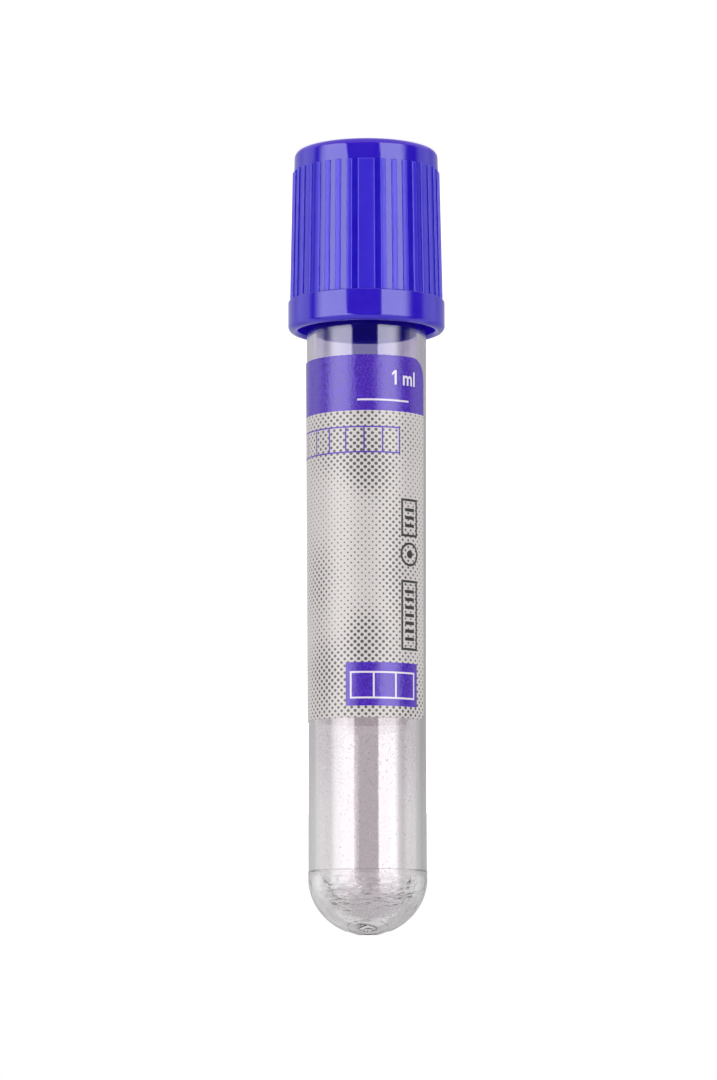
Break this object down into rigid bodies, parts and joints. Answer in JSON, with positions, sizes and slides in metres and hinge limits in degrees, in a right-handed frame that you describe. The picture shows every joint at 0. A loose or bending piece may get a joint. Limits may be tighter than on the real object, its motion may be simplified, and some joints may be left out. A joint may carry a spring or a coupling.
{
  "type": "blood collection tube",
  "caption": "Evacuated blood collection tube: round-ended clear tube with a wrapped label, dried anticoagulant and a ribbed pull-off closure round a rubber stopper.",
  "frame": {"origin": "centre of the closure's flat top, which the assembly stands on", "axes": "+Z along the tube towards its round end; -Y through the front of the label"},
  "size_m": [0.0168, 0.0168, 0.0845],
  "materials": {
    "tube_plastic": "clear moulded polyester, polished",
    "label_film": "printed film, satin varnish",
    "cap_plastic": "moulded polyethylene, semi-gloss",
    "stopper_rubber": "moulded butyl rubber, silicone-coated",
    "dried_additive": "spray-dried pale crusts"
  },
  "bodies": {
    "closure": {"cap_shell": "cap_plastic", "rubber_stopper": "stopper_rubber"},
    "tube_body": {"tube": "tube_plastic", "label": "label_film", "edta_additive": "dried_additive"}
  },
  "joints": [
    {"name": "pull_off", "type": "slide", "parent": "closure", "child": "tube_body", "axis": [0, 0, 1], "range_m": [0, 0.036]}
  ]
}
